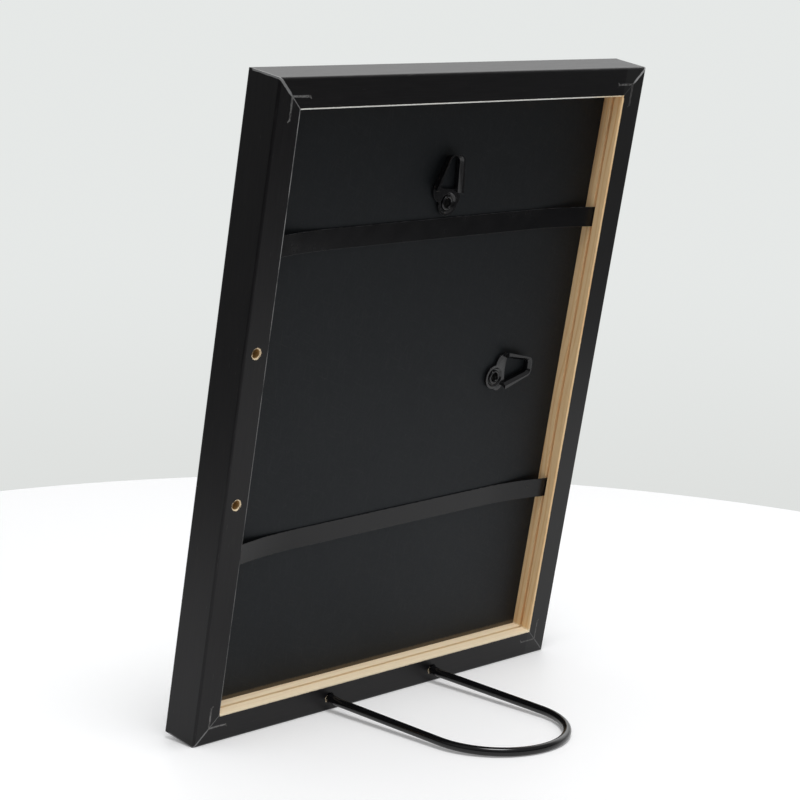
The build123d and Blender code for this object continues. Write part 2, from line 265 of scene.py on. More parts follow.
class Wiring:
    """Adds nodes to one tree and joins them."""

    def __init__(self, tree):
        self.tree = tree

    def add(self, kind, **settings):
        """A new node with its settings."""
        node = self.tree.nodes.new(kind)
        for name, value in settings.items():
            setattr(node, name, value)
        return node

    def feed(self, socket, given):
        """Links another node's output to a socket, or sets the socket's own value."""
        if isinstance(given, bpy.types.NodeSocket):
            self.tree.links.new(given, socket)
        elif socket.type == "RGBA":
            socket.default_value = (*given, 1.0)
        else:
            socket.default_value = given

    def fill(self, node, inputs):
        """Feeds a node's inputs by name and gives its outputs."""
        for name, given in inputs.items():
            self.feed(node.inputs[name], given)
        return node.outputs

    def fill_in_order(self, node, given):
        """Feeds a node's inputs from the first on and gives its outputs."""
        for socket, item in zip(node.inputs, given):
            self.feed(socket, item)
        return node.outputs

    def math(self, operation, *given, clamp=False):
        """A sum on plain numbers."""
        node = self.add("ShaderNodeMath", operation=operation, use_clamp=clamp)
        return self.fill_in_order(node, given)[0]

    def vector(self, operation, *given):
        """A sum on vectors."""
        outputs = self.fill_in_order(self.add("ShaderNodeVectorMath", operation=operation), given)
        return outputs["Value" if operation in ("LENGTH", "DOT_PRODUCT") else "Vector"]

    def times(self, first, *others):
        """The product of several numbers or masks."""
        for other in others:
            first = self.math("MULTIPLY", first, other)
        return first

    def less(self, number, other):
        """A number less another."""
        return self.math("SUBTRACT", number, other)

    def without(self, mask, other):
        """A mask with another one cut out of it."""
        return self.math("SUBTRACT", mask, other, clamp=True)

    def most(self, first, *others):
        """The largest of several numbers or masks."""
        for other in others:
            first = self.math("MAXIMUM", first, other)
        return first

    def step(self, value, low, high):
        """Rises softly from 0 at low to 1 at high, or falls where low is the larger."""
        node = self.add("ShaderNodeMapRange", interpolation_type="SMOOTHSTEP", clamp=True)
        return self.fill(node, {"Value": value, "From Min": low, "From Max": high})[0]

    def lerp(self, factor, low, high):
        """A number between two numbers."""
        node = self.add("ShaderNodeMapRange", clamp=True)
        return self.fill(node, {"Value": factor, "To Min": low, "To Max": high})[0]

    def mix(self, factor, under, over):
        """A colour between two colours, fed by number because the node's sockets share names."""
        node = self.add("ShaderNodeMix", data_type="RGBA")
        for index, given in ((0, factor), (6, under), (7, over)):
            self.feed(node.inputs[index], given)
        return node.outputs[2]

    def noise(self, place, cells, detail=2.0, roughness=0.5):
        """Cloudy noise with so many cells per millimetre, either one number or one for each axis."""
        if isinstance(cells, float):
            cells = (cells,) * 3
        return self.fill(self.add("ShaderNodeTexNoise"), {
            "Vector": self.vector("MULTIPLY", place, cells), "Scale": 1.0, "Detail": detail,
            "Roughness": roughness})[0]

    def split(self, vector):
        """A vector's three numbers."""
        return self.fill(self.add("ShaderNodeSeparateXYZ"), {"Vector": vector})

    def join(self, x, y, z):
        """A vector from three numbers."""
        return self.fill(self.add("ShaderNodeCombineXYZ"), {"X": x, "Y": y, "Z": z})[0]

    def bump(self, height, strength, depth):
        """A normal from a height, where depth is what 1 stands for in metres."""
        node = self.add("ShaderNodeBump")
        return self.fill(node, {"Height": height, "Strength": strength, "Distance": depth})["Normal"]

    def group(self, tree, **inputs):
        """Places a shared node group."""
        return self.fill(self.add("ShaderNodeGroup", node_tree=tree), inputs)

    def place(self):
        """Millimetres across, up and out from the middle of the back face's bottom edge."""
        turn = BACK.to_3x3().transposed()
        mapping = self.add("ShaderNodeMapping", vector_type="POINT")
        mapping.inputs["Scale"].default_value = (1 / MM,) * 3
        mapping.inputs["Rotation"].default_value = turn.to_euler()
        mapping.inputs["Location"].default_value = (turn @ FOOT) / -MM
        return self.fill(mapping, {"Vector": self.add("ShaderNodeTexCoord").outputs["Object"]})[0]


def new_group(kind, name, inputs, outputs):
    """A new node group with its named sockets: its wiring, what it is given and what it puts out."""
    tree = bpy.data.node_groups.new(name, kind)
    for way, sockets in (("INPUT", inputs), ("OUTPUT", outputs)):
        for label, socket in sockets.items():
            tree.interface.new_socket(label, in_out=way, socket_type="NodeSocket" + socket)
    wiring = Wiring(tree)
    return wiring, wiring.add("NodeGroupInput").outputs, wiring.add("NodeGroupOutput").inputs


def once(make):
    """Keeps a group or material by its maker's name, so that it is built only once."""
    made = {}

    def kept(*given):
        if make.__name__ not in made:
            made[make.__name__] = make(*given)
        return made[make.__name__]
    return kept


# Effects that several materials share

@once
def pine_grain():
    """Pine with fine fibres and darker late wood, in millimetres along, across and into the board."""
    w, given, out = new_group(
        "ShaderNodeTree", "pine_grain",
        {"Grain": "Vector", "Early Wood": "Color", "Late Wood": "Color"},
        {"Color": "Color", "Height": "Float"})
    grain = given["Grain"]
    ring_lean, ring_drift, half_ring = 0.35, 9.0, 1.15
    drift = w.noise(grain, (0.012, 0.05, 0.05), 1.0)
    _, across, deep = w.split(grain)
    lean = w.math("MULTIPLY_ADD", across, ring_lean, deep)
    rings = w.math("MULTIPLY_ADD", drift, ring_drift, lean)
    ring = w.step(w.math("PINGPONG", rings, half_ring), 0.55, 1.1)
    fibre = w.noise(grain, (0.05, 2.6, 2.6), 3.0, 0.6)
    streak = w.noise(grain, (0.018, 0.7, 0.7))
    ring_share, fibre_share = 0.75, 0.35
    dark = w.times(ring, w.step(streak, 0.25, 0.75), ring_share)
    dark = w.math("MULTIPLY_ADD", w.step(fibre, 0.45, 0.8), fibre_share, dark)
    w.feed(out["Color"], w.mix(dark, given["Early Wood"], given["Late Wood"]))
    w.feed(out["Height"], fibre)
    return w.tree


@once
def fine_flecks():
    """Sparse small flecks, such as dust and pinholes, on a dark surface."""
    w, given, out = new_group(
        "ShaderNodeTree", "fine_flecks",
        {"Place": "Vector", "Stretch": "Vector", "Cover": "Float"}, {"Mask": "Float"})
    specks = w.noise(given["Place"], given["Stretch"], 1.0)
    clouds = w.noise(given["Place"], 0.03)
    fewest, cloud_share, soft = 0.86, 0.12, 0.05
    edge = w.math("MULTIPLY_ADD", clouds, -cloud_share, w.less(fewest, given["Cover"]))
    w.feed(out["Mask"], w.step(w.less(specks, edge), 0.0, soft))
    return w.tree


@once
def coat_unevenness():
    """The slight unevenness of a dipped or sprayed black coat."""
    w, given, out = new_group(
        "ShaderNodeTree", "coat_unevenness", {"Place": "Vector", "Edge": "Float"},
        {"Shade": "Float", "Worn And Highlit Edge": "Float", "Height": "Float"})
    scuff = w.noise(given["Place"], 0.45, 3.0, 0.65)
    w.feed(out["Shade"], w.noise(given["Place"], 0.12, 3.0))
    # Rubbed edges, which also carry painted highlights along the rounded edges
    w.feed(out["Worn And Highlit Edge"], w.times(given["Edge"], w.step(scuff, 0.34, 0.66)))
    w.feed(out["Height"], w.noise(given["Place"], 1.6))
    return w.tree


@once
def moulding_place():
    """Where a point lies on the mitred moulding: along the grain, in from the edge, from the joints."""
    w, given, out = new_group(
        "ShaderNodeTree", "moulding_place",
        {"Place": "Vector", "Half Width": "Float", "Half Height": "Float", "Nail Inset": "Float",
         "Nail Leg": "Float"},
        {"Grain": "Vector", "Inward": "Float", "Mitre": "Float", "Nail": "Float"})
    across, up, deep = w.split(given["Place"])
    middle = w.less(up, given["Half Height"])
    side = w.less(given["Half Width"], w.math("ABSOLUTE", across))
    end = w.less(given["Half Height"], w.math("ABSOLUTE", middle))
    upright = w.math("LESS_THAN", side, end)
    apart = 700.0
    upright_along = w.math("MULTIPLY_ADD", w.math("SIGN", across), apart, middle)
    level_along = w.math("MULTIPLY_ADD", w.math("SIGN", middle), apart,
                         w.math("ADD", across, 2 * apart))
    along = w.lerp(upright, level_along, upright_along)
    inward = w.math("MINIMUM", side, end)
    w.feed(out["Grain"], w.join(along, inward, deep))
    w.feed(out["Inward"], inward)
    w.feed(out["Mitre"], w.times(w.math("ABSOLUTE", w.less(side, end)), MITRE_SINE))
    legs = []
    for beside, run in ((side, end), (end, side)):
        past = w.less(run, given["Nail Inset"])
        off = w.math("ABSOLUTE", w.less(beside, given["Nail Inset"]))
        legs.append(w.most(off, w.times(past, -1.0), w.less(past, given["Nail Leg"])))
    w.feed(out["Nail"], w.math("MINIMUM", *legs))
    return w.tree


@once
def corner_share():
    """A number for each corner of the frame."""
    w, given, out = new_group(
        "ShaderNodeTree", "corner_share",
        {"Place": "Vector", "Half Height": "Float", **dict.fromkeys(CORNERS, "Float")},
        {"Share": "Float"})
    across, up, _ = w.split(given["Place"])
    left = w.math("GREATER_THAN", across, 0.0)
    top = w.math("GREATER_THAN", up, given["Half Height"])
    at_right = w.lerp(top, given["Bottom Right"], given["Top Right"])
    at_left = w.lerp(top, given["Bottom Left"], given["Top Left"])
    w.feed(out["Share"], w.lerp(left, at_right, at_left))
    return w.tree


# Marks on the rails, in millimetres

def by_corner(w, place, shares):
    """Gives each corner its own number, in the order of CORNERS."""
    return w.group(corner_share(), **{
        "Place": place, "Half Height": HEIGHT / 2 / MM, **dict(zip(CORNERS, shares))})["Share"]


def behind_front(w, out):
    """Mask of all that lies behind the front face, which stays clean."""
    front = -DEPTH / MM
    return w.step(out, front + 2.0, front + 3.0)


def near_back(w, out):
    """Mask of what lies just under the back face."""
    return w.step(out, -1.5, -1.0)


def bare_pine(w, place, inward, fray, moulding):
    """Masks of the bare pine, of its pale band on the level rails, and of the rubbed grey line."""
    across, up, out = w.split(place)
    rail, height, lip = RAIL_WIDTH / MM, HEIGHT / MM, -LIP_DEPTH / MM
    narrow = w.math("LESS_THAN", across, rail - HALF_WIDTH / MM)
    top = w.math("GREATER_THAN", up, (HEIGHT - RAIL_REACH) / MM)
    width = w.lerp(narrow, w.lerp(top, moulding.bare_band / MM, moulding.top_band / MM),
                   moulding.narrow_band / MM)
    edge_fray = 0.45
    from_opening = w.less(rail, w.math("MULTIPLY_ADD", fray, edge_fray, inward))
    strip = w.step(w.less(from_opening, width), SOFT_EDGE, -SOFT_EDGE)
    broken = w.step(w.noise(place, 0.07, 3.0, 0.6), 0.3, 0.6)
    lowest_share = 0.45
    faded = w.lerp(w.step(up, 0.4 * height, 0.95 * height), lowest_share, 1.0)
    below = w.step(out, -0.5, -0.8)
    line = w.times(strip, narrow, broken, faded)
    band = w.without(strip, narrow)
    upright = w.math("GREATER_THAN", across, HALF_WIDTH / MM - rail - 0.5)
    pale = w.without(band, w.most(below, upright))
    inner = w.times(below, w.step(inward, 8.0, 8.4))
    behind_lip = w.step(out, lip + 0.1, lip + 0.2)
    bare = w.times(w.most(band, inner), behind_lip)
    return bare, pale, w.without(line, below)


def painted_recess_shade(w, up, out):
    """Mask of painted shade on the pine beside the board, strongest near the top."""
    height, board = HEIGHT / MM, -BOARD_DEPTH / MM
    palest = 0.4 * height
    from_palest = w.math("ABSOLUTE", w.less(up, palest))
    share = w.lerp(w.step(from_palest, 0.3 * height, 0.5 * height), 0.1, 0.6)
    return w.times(w.step(out, board + 2.6, board + 0.2), share)


def drilled_holes(w, place, fray, moulding):
    """Masks of the holes' insides and of the torn rims, on one side only where the wire goes in."""
    across, up, out = w.split(place)
    radius, rim = HOLE_RADIUS / MM, (HOLE_RADIUS + moulding.torn_width) / MM
    half_spacing = HOLE_SPACING / 2 / MM
    beside = w.less(w.math("ABSOLUTE", across), half_spacing)
    above = w.less(up, RAIL_WIDTH / 2 / MM)
    from_wire = w.vector("LENGTH", w.join(beside, above, 0.0))
    rise = w.math("ABSOLUTE", w.less(up, SIDE_HOLE_MIDDLE / MM))
    from_open = w.vector("LENGTH", w.join(w.less(across, SIDE_HOLE_ACROSS / MM),
                                          w.less(rise, half_spacing), 0.0))
    sideways = w.times(beside, w.math("SIGN", across))
    one_side = w.times(w.step(sideways, -0.8, -1.5), w.step(above, 0.9, 0.2))
    reached = w.most(one_side, w.step(out, -0.9, -1.3))
    wall = (radius + 0.06, radius - 0.02)
    inside = w.most(w.times(reached, w.step(from_wire, *wall)), w.step(from_open, *wall))
    rim_fray = 1.5
    ragged_open = w.math("MULTIPLY_ADD", fray, rim_fray, from_open)
    ragged_wire = w.math("MULTIPLY_ADD", fray, rim_fray, from_wire)
    torn = w.most(w.step(ragged_open, rim + 0.1, rim - 0.1),
                  w.times(one_side, w.step(ragged_wire, rim + 0.2, rim)))
    inside = w.times(inside, behind_front(w, out))
    return inside, w.without(w.times(torn, near_back(w, out)), inside)


def opened_joints(w, place, spot, fray, moulding):
    """Mask of the mitre seams, widest near the outer corner, and of film crushed beside the nails."""
    out = w.split(place)["Z"]
    outer = w.step(spot["Inward"], 7.5, 5.0)
    spread = w.times(outer, by_corner(w, place, SEAM_SPREAD))
    strength = w.lerp(outer, by_corner(w, place, INNER_SEAM), by_corner(w, place, OUTER_SEAM))
    wander = w.noise(spot["Grain"], (1.1, 1.1, 0.4), 3.0, 0.65)
    spread_share, wander_share = 0.7, 0.6
    half_seam = w.times(w.math("MULTIPLY_ADD", spread, spread_share, w.times(wander, wander_share)),
                        moulding.seam_width / MM)
    seam_fray, nail_fray = 0.3, 1.2
    off_seam = w.math("MULTIPLY_ADD", fray, seam_fray, spot["Mitre"])
    seam = w.step(w.less(off_seam, half_seam), SOFT_EDGE, -SOFT_EDGE)
    seam = w.times(seam, behind_front(w, out), strength)
    off_nail = w.math("MULTIPLY_ADD", fray, nail_fray, spot["Nail"])
    crushed = w.times(w.step(off_nail, 0.55, 0.3), near_back(w, out))
    return w.most(seam, w.times(crushed, by_corner(w, place, CRUSHED_FILM)))


def film_marks(w, grain, inward, out):
    """Mask of rubbed outer edges and of flecks in the film."""
    edge_back = w.most(inward, w.times(out, -1.0))
    edge_front = w.most(inward, w.math("ADD", out, DEPTH / MM))
    arris = w.step(w.math("MINIMUM", edge_back, edge_front), 0.8, 0.35)
    rubbed = w.times(arris, w.step(w.noise(grain, (0.12, 0.9, 0.9), 3.0), 0.6, 0.75))
    flecks = w.group(fine_flecks(), Place=grain, Stretch=(0.16, 1.3, 1.3), Cover=0.06)["Mask"]
    paleness = 0.45
    return w.times(w.most(rubbed, flecks), paleness)


# Materials

def new_material(name):
    """A node material, its wiring and its main shader."""
    material = bpy.data.materials.new(name)
    material.use_nodes = True
    return material, Wiring(material.node_tree), material.node_tree.nodes["Principled BSDF"]


def scaled(colour, factor):
    """A colour made lighter or darker."""
    return tuple(factor * value for value in colour)


@once
def black_film_on_pine(moulding, nails):
    """Black film outside, bare pine inside, torn where the moulding was cut, nailed and drilled."""
    material, w, shader = new_material("black_film_on_pine")
    place = w.place()
    across, up, out = w.split(place)
    spot = w.group(moulding_place(), **{
        "Place": place, "Half Width": HALF_WIDTH / MM, "Half Height": HEIGHT / 2 / MM,
        "Nail Inset": nails.inset / MM, "Nail Leg": nails.leg / MM})
    grain, inward = spot["Grain"], spot["Inward"]
    fray = w.less(w.noise(grain, (0.6, 1.4, 1.4), 4.0, 0.7), 0.5)
    walls, band, line = bare_pine(w, place, inward, fray, moulding)
    inside, torn = drilled_holes(w, place, fray, moulding)
    joints = opened_joints(w, place, spot, fray, moulding)
    bare = w.most(walls, inside, torn)

    pores = w.noise(grain, (0.06, 1.8, 1.8), 3.0, 0.6)
    pore_paleness, pore_depth = 0.1, 0.35
    left_rail = w.math("GREATER_THAN", across, (HALF_WIDTH - RAIL_WIDTH) / MM)
    # Lighter film on the back face of the rail away from the open holes
    far_rail_back = w.times(left_rail, w.math("GREATER_THAN", out, -1.0))
    film = w.mix(far_rail_back, moulding.film, moulding.far_rail_film)
    film = w.mix(w.times(w.step(pores, 0.3, 0.75), pore_paleness), film, moulding.film_fleck)
    film = w.mix(film_marks(w, grain, inward, out), film, moulding.film_fleck)
    film = w.mix(joints, film, moulding.seam)
    film = w.mix(line, film, moulding.rubbed_line)

    pine = w.group(pine_grain(), **{"Grain": grain, "Early Wood": moulding.early_wood,
                                    "Late Wood": moulding.late_wood})
    # Painted light: the bottom rail's pine leans to a paler tone
    painted_light_rail = w.math("LESS_THAN", up, RAIL_REACH / MM)
    wood = w.mix(w.times(painted_light_rail, moulding.painted_light_share), pine["Color"], moulding.painted_light_wood)
    # Painted shade on the pine beside the board, deepest towards the top rail
    wood = w.mix(painted_recess_shade(w, up, out), wood, moulding.recess_shade_wood)
    # Painted shade inside the drilled holes
    wood = w.mix(inside, wood, moulding.hole_shade_wood)
    wood = w.mix(w.most(band, torn), wood, moulding.torn_wood)
    upper_half = w.math("GREATER_THAN", up, HEIGHT / 2 / MM)
    grey = w.step(across, moulding.grey_start / MM, moulding.grey_full / MM)
    wood = w.mix(w.times(band, upper_half, grey), wood, moulding.rubbed_edge)

    rough_wood = 0.72
    rough_film = w.lerp(pores, moulding.film_gloss - 0.05, moulding.film_gloss + 0.08)
    rough = w.math("MULTIPLY_ADD", w.most(bare, joints), w.less(rough_wood, rough_film), rough_film)
    relief = w.math("MULTIPLY_ADD", bare, pine["Height"], w.times(pores, pore_depth))
    w.fill(shader, {"Base Color": w.mix(bare, film, wood), "Roughness": rough,
                    "Normal": w.bump(relief, 0.35, 0.08 * MM), "Specular IOR Level": 0.23})
    return material


@once
def torn_pine(moulding):
    """Fresh splinters at a drilled rim."""
    material, w, shader = new_material("torn_pine")
    pine = w.group(pine_grain(), **{"Grain": w.place(), "Early Wood": moulding.torn_wood,
                                    "Late Wood": moulding.early_wood})
    w.fill(shader, {"Base Color": pine["Color"], "Normal": w.bump(pine["Height"], 0.4, 0.05 * MM),
                    "Roughness": 0.8, "Specular IOR Level": 0.2})
    return material


@once
def stained_steel(nails):
    """Nail steel with dust of the film pressed into it."""
    material, w, shader = new_material("stained_nail_steel")
    place = w.place()
    clean = w.step(w.noise(place, 0.5, 4.0, 0.65), 0.65, 0.35)
    across = w.math("ABSOLUTE", w.split(place)["X"])
    past_bend = 0.8
    upright = w.math("GREATER_THAN", across, (HALF_WIDTH - nails.inset) / MM - past_bend)
    share = w.lerp(upright, by_corner(w, place, LEVEL_NAIL_LEG), by_corner(w, place, UPRIGHT_NAIL_LEG))
    stain = w.less(1.0, w.times(clean, share))
    w.fill(shader, {"Base Color": w.mix(stain, nails.steel, nails.stain),
                    "Roughness": w.lerp(stain, 0.38, 0.62), "Metallic": w.lerp(stain, 1.0, 0.35),
                    "Normal": w.bump(w.noise(place, 4.0), 0.3, 0.05 * MM)})
    return material


@once
def black_hardboard(panels):
    """Pressed black board with short fibres lying every way."""
    material, w, shader = new_material("black_hardboard")
    place = w.place()
    fibres = []
    for degrees, along, thin in ((24, 0.16, 1.7), (-57, 0.2, 2.0), (88, 0.14, 1.5)):
        turned = w.add("ShaderNodeVectorRotate", rotation_type="Z_AXIS")
        turned = w.fill(turned, {"Vector": place, "Angle": radians(degrees)})[0]
        fibres.append(w.step(w.noise(turned, (along, thin, 1.0)), 0.54, 0.74))
    fibre = w.most(*fibres)
    clouds = w.noise(place, 0.025, 3.0)
    press = w.noise(place, 1.1, 3.0, 0.6)
    dust = w.group(fine_flecks(), Place=place, Stretch=(0.9, 0.9, 0.9), Cover=0.03)["Mask"]
    dust_share, fibre_depth, cloud_gloss = 0.3, 0.4, 0.5
    shade = w.times(fibre, w.lerp(clouds, 0.25, 0.75))
    color = w.mix(shade, panels.board, panels.board_fibre)
    color = w.mix(w.times(dust, dust_share), color, scaled(panels.board_fibre, 3))
    # A ragged brown band along the board's lower edge, beside the bottom rail
    ragged = 1.2
    uneven = w.math("MULTIPLY_ADD", press, -ragged, w.split(place)["Y"])
    from_rail = w.less(uneven, RAIL_WIDTH / MM - ragged / 2)
    lower_band = w.step(from_rail, panels.lower_band_width / MM, 0.5 * panels.lower_band_width / MM)
    rough = w.math("MULTIPLY_ADD", clouds, cloud_gloss, press)
    relief = w.math("MULTIPLY_ADD", fibre, fibre_depth, press)
    w.fill(shader, {"Base Color": w.mix(lower_band, color, panels.lower_brown_band),
                    "Roughness": w.lerp(rough, 0.47, 0.6), "Normal": w.bump(relief, 0.12, 0.06 * MM),
                    "Specular IOR Level": 0.27, "Specular Tint": (0.86, 0.93, 1.0)})
    return material


@once
def plain_paper(panels):
    """Uncoated paper with a soft cloudy tone."""
    material, w, shader = new_material("plain_insert_paper")
    place = w.place()
    clouds = w.noise(place, 0.06, 4.0, 0.6)
    fibre = w.noise(place, (1.3, 2.1, 1.0), 3.0, 0.6)
    fibre_share, cloud_share = 0.3, 0.5
    shade = w.math("MULTIPLY_ADD", w.step(fibre, 0.5, 0.8), fibre_share, w.times(clouds, cloud_share))
    w.fill(shader, {"Base Color": w.mix(shade, panels.paper, panels.paper_shade),
                    "Normal": w.bump(fibre, 0.15, 0.03 * MM), "Roughness": 0.85,
                    "Specular IOR Level": 0.2})
    return material


@once
def clear_glass(panels):
    """Float glass with a faint smear on its faces."""
    material, w, shader = new_material("clear_float_glass")
    smear = w.noise(w.place(), (0.02, 0.035, 0.02), 3.0)
    w.fill(shader, {"Base Color": panels.glass, "Roughness": w.lerp(smear, 0.0, 0.035),
                    "Transmission Weight": 1.0, "IOR": 1.5})
    return material


def black_coat(name, black, worn_and_highlight, gloss, specular, peel):
    """A black coat that is rubbed pale along rounded edges, with painted highlights there as well."""
    material, w, shader = new_material(name)
    place = w.place()
    edge = w.add("ShaderNodeAttribute", attribute_name="edge").outputs["Fac"]
    coat = w.group(coat_unevenness(), Place=place, Edge=edge)
    dust = w.group(fine_flecks(), Place=place, Stretch=(0.8, 0.8, 0.8), Cover=0.05)["Mask"]
    dust_share, worn_roughness = 0.3, 0.12
    color = w.mix(coat["Shade"], black, scaled(black, 1.6))
    marks = w.most(coat["Worn And Highlit Edge"], w.times(dust, dust_share))
    rough = w.lerp(coat["Shade"], gloss - 0.06, gloss + 0.08)
    # Rubbed edges and painted highlights, on the rounded edges only
    w.fill(shader, {"Base Color": w.mix(marks, color, worn_and_highlight),
                    "Roughness": w.math("MULTIPLY_ADD", coat["Worn And Highlit Edge"], worn_roughness, rough),
                    "Normal": w.bump(coat["Height"], peel, 0.05 * MM),
                    "Specular IOR Level": specular})
    return material


@once
def spring_black(hardware):
    """Satin black spring steel."""
    return black_coat("black_spring_steel", hardware.coat, hardware.worn_coat_and_highlight,
                      gloss=0.24, specular=0.26, peel=0.05)


@once
def stamped_black(hardware):
    """Satin black stamped steel, for hangers and eyelets."""
    return black_coat("black_stamped_steel", hardware.coat, hardware.worn_stamping_and_highlight,
                      gloss=0.2, specular=0.5, peel=0.08)


@once
def wire_black(hardware):
    """Glossy black coat on the wire."""
    return black_coat("black_wire_coat", hardware.wire_coat, hardware.worn_coat_and_highlight,
                      gloss=0.15, specular=0.4, peel=0.04)


# Making pieces

def show(name, mesh):
    """Puts a mesh into the scene as an object at the origin."""
    piece = bpy.data.objects.new(name, mesh)
    bpy.context.scene.collection.objects.link(piece)
    return piece


def settled(piece):
    """Turns a piece and its modifiers into a plain mesh."""
    bpy.context.view_layer.update()
    mesh = bpy.data.meshes.new_from_object(piece.evaluated_get(bpy.context.evaluated_depsgraph_get()))
    mesh.name = piece.name
    piece.modifiers.clear()
    piece.data = mesh
    return piece


def hand_over(piece, body, slot, *nodes):
    """Lets a finished piece ride on its body, in place of the named CAD nodes."""
    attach(piece, body)
    if nodes:
        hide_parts(*nodes)


def coat_node(node, material):
    """Gives a CAD node its finish."""
    for place in frame["nodes"][node].material_slots:
        place.material = material


def rounded_copy(node, name, material, edge_round):
    """A copy of a CAD node with its sharp edges rounded, and those roundings marked as edges."""
    form = bmesh.new()
    form.from_mesh(frame["nodes"][node].data)
    bmesh.ops.remove_doubles(form, verts=form.verts, dist=MERGE)
    bmesh.ops.dissolve_limit(form, angle_limit=FLAT, verts=form.verts, edges=form.edges)
    for face in form.faces:
        face.smooth = True
        face.material_index = 0
    mesh = bpy.data.meshes.new(name)
    form.to_mesh(mesh)
    form.free()
    mesh.materials.append(material)
    mesh.materials.append(material)
    mesh.set_sharp_from_angle(angle=SHARP)
    piece = show(name, mesh)
    bevel = piece.modifiers.new("edges", "BEVEL")
    bevel.width = edge_round
    bevel.segments = 2
    bevel.limit_method = "ANGLE"
    bevel.angle_limit = SHARP
    bevel.harden_normals = True
    bevel.material = 1
    settled(piece)
    edge = piece.data.attributes.new("edge", "FLOAT", "FACE")
    edge.data.foreach_set("value", [float(face.material_index) for face in piece.data.polygons])
    piece.data.polygons.foreach_set("material_index", [0] * len(piece.data.polygons))
    piece.data.materials.pop()
    return piece


def end_tree(w, geometry, material, out):
    """Closes a tree with real geometry that has its material."""
    real = w.fill(w.add("GeometryNodeRealizeInstances"), {"Geometry": geometry})[0]
    w.feed(out["Geometry"], w.fill(w.add("GeometryNodeSetMaterial"),
                                   {"Geometry": real, "Material": material})[0])
    return w.tree


def grow(name, start, tree, **inputs):
    """Runs a Geometry Nodes tree on a start mesh and keeps the result as a plain mesh."""
    piece = show(name, start)
    modifier = piece.modifiers.new(name, "NODES")
    modifier.node_group = tree
    for item in tree.interface.items_tree:
        if item.in_out == "INPUT" and item.name in inputs:
            modifier[item.identifier] = inputs[item.name]
    return settled(piece)


def mesh_of(name, points, edges=()):
    """A mesh of loose points and edges."""
    mesh = bpy.data.meshes.new(name)
    mesh.from_pydata(points, edges, [])
    return mesh


@once
def bent_wire_tree():
    """Rounds a path's corners and sweeps a wire along it."""
    w, given, out = new_group(
        "GeometryNodeTree", "bent_wire",
        {"Geometry": "Geometry", "Bend Radius": "Float", "Loop Radius": "Float",
         "Wire Radius": "Float", "Sides": "Int", "Corner Steps": "Int", "Material": "Material"},
        {"Geometry": "Geometry"})
    path_middle = 2.5
    path = w.fill(w.add("GeometryNodeMeshToCurve"), {"Mesh": given["Geometry"]})[0]
    index = w.add("GeometryNodeInputIndex").outputs[0]
    loop = w.add("FunctionNodeCompare", data_type="FLOAT", operation="LESS_THAN")
    w.feed(loop.inputs[0], w.math("ABSOLUTE", w.less(index, path_middle)))
    w.feed(loop.inputs[1], 1.0)
    radius = w.add("GeometryNodeSwitch", input_type="FLOAT")
    radius = w.fill(radius, {"Switch": loop.outputs[0], "False": given["Bend Radius"],
                             "True": given["Loop Radius"]})[0]
    rounded = w.add("GeometryNodeFilletCurve", mode="POLY")
    rounded = w.fill(rounded, {"Curve": path, "Radius": radius, "Count": given["Corner Steps"],
                               "Limit Radius": True})[0]
    ring = w.fill(w.add("GeometryNodeCurvePrimitiveCircle", mode="RADIUS"),
                  {"Resolution": given["Sides"], "Radius": given["Wire Radius"]})[0]
    swept = w.fill(w.add("GeometryNodeCurveToMesh"),
                   {"Curve": rounded, "Profile Curve": ring, "Fill Caps": True})[0]
    merged = w.fill(w.add("GeometryNodeMergeByDistance"), {"Geometry": swept, "Distance": MERGE})[0]
    return end_tree(w, merged, given["Material"], out)


